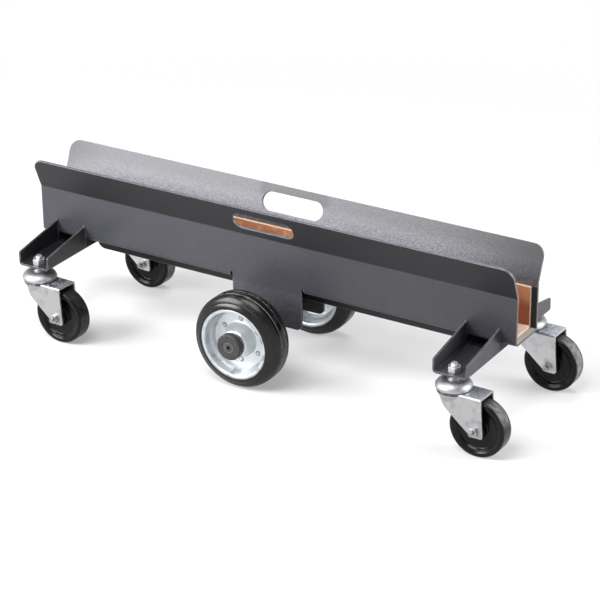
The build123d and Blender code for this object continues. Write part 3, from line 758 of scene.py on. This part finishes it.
tyre_half = [Vector(point) * mm for point in bead_seat]
for n, (point, away) in enumerate(arc(sidewall_foot, shoulder, band_foot, sidewall_points)):
    through = (n / sidewall_points - steps_start) / (steps_end - steps_start)
    lift = 0.0
    if 0 <= through < 1:
        on_step = through * step_count % 1.0
        lift = step_rise * min(on_step / step_edge, (1 - on_step) / (1 - step_edge))
    tyre_half.append(point + away * lift)
tyre_half.append(Vector((tyre_r, band_half)))
band_edges = (len(tyre_half) - 1, len(tyre_half))
for side in ("front", "back"):
    tyre = revolved(
        "moulded_tyre_" + side,
        both_sides(tyre_half),
        "wheel_roll_" + side,
        tyre_turns,
        finishes["tyre"],
        notched=band_edges,
        notch=notch,
    )
    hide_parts("tyre_" + side)
    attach(tyre, "wheel_" + side)

# Rivets with small round heads, in place of the wide CAD ones
rivet_r = 3 * mm
shank_r = 2.5 * mm
rivet_height = 2 * mm
dome_points = 6
rivet_turns = 48
rivet_spots = [2 * pi * n / rivet_count for n in range(rivet_count)]
rivet_places = [Vector((sin(turn), 0, cos(turn))) * rivet_circle for turn in rivet_spots]
slopes = [pi / 2 * n / dome_points for n in range(1, dome_points + 1)]
for side in ("front", "back"):
    low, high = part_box("rim_rivets_" + side)
    grip = (high.y - low.y) / 2 - rivet_height
    head = [(rivet_r * sin(slope), grip + rivet_height * cos(slope)) for slope in slopes]
    tail = [(radius, -along) for radius, along in reversed(head)]
    rivets = revolved(
        "round_rivets_" + side,
        [*head, (shank_r, grip), (shank_r, -grip), *tail],
        "wheel_roll_" + side,
        rivet_turns,
        finishes["rim_rivets"],
        solid=True,
        places=rivet_places,
    )
    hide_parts("rim_rivets_" + side)
    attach(rivets, "wheel_" + side)

# Caster wheels with softened corners, in place of the sharp CAD wheels.
# Their half section goes from the bore over the hub's face and the sunk web to the edge of the tread
hub_and_web = ((10.1, 17.4), (15, 17.4), (16.5, 8), (32.8, 8))
rim_face = ((36.3, 12.3), (38, 12.3), (39.7, 14), (45, 14))
tread_edge = Vector((caster_r, 12 * mm))
tread_middle = Vector((caster_r, 0))
corner_reach = 1.3 * mm
corner_points = 6
same_place = 0.001 * mm
caster_turns = 144


def softened(points, reach):
    """Section with each corner drawn as a curve that starts and ends at most reach from it.

    Where two curves meet, their shared point is there once. The last point only gives a direction.
    """
    path = [points[0]]
    for before, corner, after in zip(points, points[1:], points[2:]):
        start = corner + (before - corner).normalized() * min(reach, (before - corner).length / 2)
        end = corner + (after - corner).normalized() * min(reach, (after - corner).length / 2)
        if (start - path[-1]).length < same_place:
            path.pop()
        for n in range(corner_points + 1):
            share = n / corner_points
            path.append(start.lerp(corner, share).lerp(corner.lerp(end, share), share))
    return path


caster_half = [Vector(point) * mm for point in (*hub_and_web, *rim_face)]
caster_section = both_sides(softened([*caster_half, tread_edge, tread_middle], corner_reach))
for corner in corners:
    caster = revolved(
        "moulded_caster_" + corner,
        caster_section,
        "caster_roll_" + corner,
        caster_turns,
        finishes["caster_wheel_" + corner],
    )
    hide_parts("caster_wheel_" + corner)
    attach(caster, "roller_" + corner)

# Kingpins with a threaded stud, in place of the plain CAD ones
thread_r = 6 * mm
thread_pitch = 1.75 * mm
thread_depth = 0.9 * mm
thread_count = 8
pin_r = 7 * mm
shoulder_r = 10 * mm
shoulder_height = 2 * mm
collar = 8 * mm
rivet_head = 7 * mm
kingpin_turns = 96
for corner in corners:
    joint = "swivel_turn_" + corner
    pivot = joints[joint]["pos_m"][2]
    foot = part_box("kingpin_" + corner)[0].z - pivot
    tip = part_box("kingpin_" + corner)[1].z - pivot
    head_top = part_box("swivel_head_" + corner)[1].z - pivot
    section = [
        (shoulder_r, foot),
        (shoulder_r, foot + rivet_head),
        (pin_r, foot + rivet_head),
        (pin_r, head_top),
        (shoulder_r, head_top),
        (shoulder_r, head_top + shoulder_height),
        (pin_r, head_top + shoulder_height),
        (pin_r, head_top + collar),
        (thread_r, head_top + collar),
    ]
    for n in range(thread_count, 0, -1):
        section.append((thread_r, tip - n * thread_pitch))
        section.append((thread_r - thread_depth, tip - (n - 0.5) * thread_pitch))
    section.append((thread_r - thread_depth, tip))
    kingpin = revolved(
        "threaded_kingpin_" + corner, section, joint, kingpin_turns, finishes["kingpin"], solid=True
    )
    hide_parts("kingpin_" + corner)
    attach(kingpin, "frame")

# Floor: white to the camera and in reflections, with the object's soft shadow kept in its diffuse share
floor_half = 30.0
floor_mesh = bmesh.new()
bmesh.ops.create_grid(floor_mesh, x_segments=8, y_segments=8, size=floor_half)
floor_data = bpy.data.meshes.new("floor")
floor_mesh.to_mesh(floor_data)
floor_mesh.free()
floor = bpy.data.objects.new("floor", floor_data)
bpy.context.scene.collection.objects.link(floor)


def seen(tree):
    """1 for what the camera sees directly, in a reflection or through glass."""
    path = tree.nodes.new("ShaderNodeLightPath")
    total = path.outputs["Is Camera Ray"]
    for name in ("Is Glossy Ray", "Is Transmission Ray"):
        node = tree.nodes.new("ShaderNodeMath")
        node.operation = "MAXIMUM"
        tree.links.new(total, node.inputs[0])
        tree.links.new(path.outputs[name], node.inputs[1])
        total = node.outputs[0]
    return total


def floor_finish():
    """Pale floor that keeps the object's shadow, and glows white further out, into the white backdrop."""
    s = Shader("pale_floor")
    glow_reach = (0.5, 1.6)
    shown = seen(s.tree)
    glow_share = s.ramp(s.vector("LENGTH", s.place), *glow_reach, 0.3, 1.0)
    pale = s.mix(s.noise(0.4), (0.74, 0.74, 0.74), (0.77, 0.77, 0.77))
    s.set(base_color=s.mix(shown, (0.30, 0.30, 0.30), pale), roughness=0.9)
    s.shine(0.0)
    glow = s.add("ShaderNodeEmission")
    blend = s.add("ShaderNodeMixShader")
    s.feed(blend.inputs[0], s.times(shown, glow_share))
    s.tree.links.new(s.surface.outputs[0], blend.inputs[1])
    s.tree.links.new(glow.outputs[0], blend.inputs[2])
    s.tree.links.new(blend.outputs[0], s.tree.nodes["Material Output"].inputs[0])
    return s.material


floor_data.materials.append(floor_finish())

# World: white round the horizon and darker overhead for what is seen, and a plain soft light for the rest
world = bpy.data.worlds.new("studio")
bpy.context.scene.world = world
world.use_nodes = True
tree = world.node_tree
direction = tree.nodes.new("ShaderNodeTexCoord")
height = tree.nodes.new("ShaderNodeSeparateXYZ")
tree.links.new(direction.outputs["Generated"], height.inputs[0])
dome = tree.nodes.new("ShaderNodeValToRGB")
horizon, overhead = dome.color_ramp.elements
horizon.position = 0.18
horizon.color = (1, 1, 1, 1)
overhead.position = 0.5
overhead.color = (0.30, 0.31, 0.35, 1)
tree.links.new(height.outputs["Z"], dome.inputs[0])
shown = tree.nodes.new("ShaderNodeMix")
shown.data_type = "RGBA"
shown.inputs[6].default_value = (0.20, 0.20, 0.21, 1)
tree.links.new(seen(tree), shown.inputs["Factor"])
tree.links.new(dome.outputs[0], shown.inputs[7])
tree.links.new(shown.outputs[2], tree.nodes["Background"].inputs["Color"])


def softbox(name, place, width, height, power):
    """Rectangular studio lamp that looks at the middle of the dolly."""
    middle = Vector((0, 0, 0.15))
    lamp = bpy.data.lights.new(name, "AREA")
    lamp.shape = "RECTANGLE"
    lamp.size = width
    lamp.size_y = height
    lamp.energy = power
    box = bpy.data.objects.new(name, lamp)
    box.location = place
    box.rotation_euler = (Vector(place) - middle).to_track_quat("Z", "Y").to_euler()
    bpy.context.scene.collection.objects.link(box)


softbox("key", place=(-1.85, -2.1, 1.6), width=1.8, height=1.5, power=145)
softbox("top", place=(0, -1.4, 2.6), width=1.8, height=1.0, power=50)
softbox("back", place=(0, 1.1, 2.7), width=1.6, height=0.8, power=30)
softbox("fill", place=(2.4, 0.8, 1.1), width=1.2, height=1.2, power=50)

# Camera, at the photograph's viewing angle
camera = bpy.data.objects.new("camera", bpy.data.cameras.new("camera"))
bpy.context.scene.collection.objects.link(camera)
bpy.context.scene.camera = camera
camera.location = (1.8579, -2.9720, 1.7444)
aim = Vector((0.0370, 0.0056, 0.1089))
roll = Quaternion((0, 0, 1), radians(-0.38))
camera.rotation_mode = "QUATERNION"
camera.rotation_quaternion = (camera.location - aim).to_track_quat("Z", "Y") @ roll
camera.data.sensor_width = 36
camera.data.lens = 141.53

bpy.context.scene.view_settings.view_transform = "Standard"
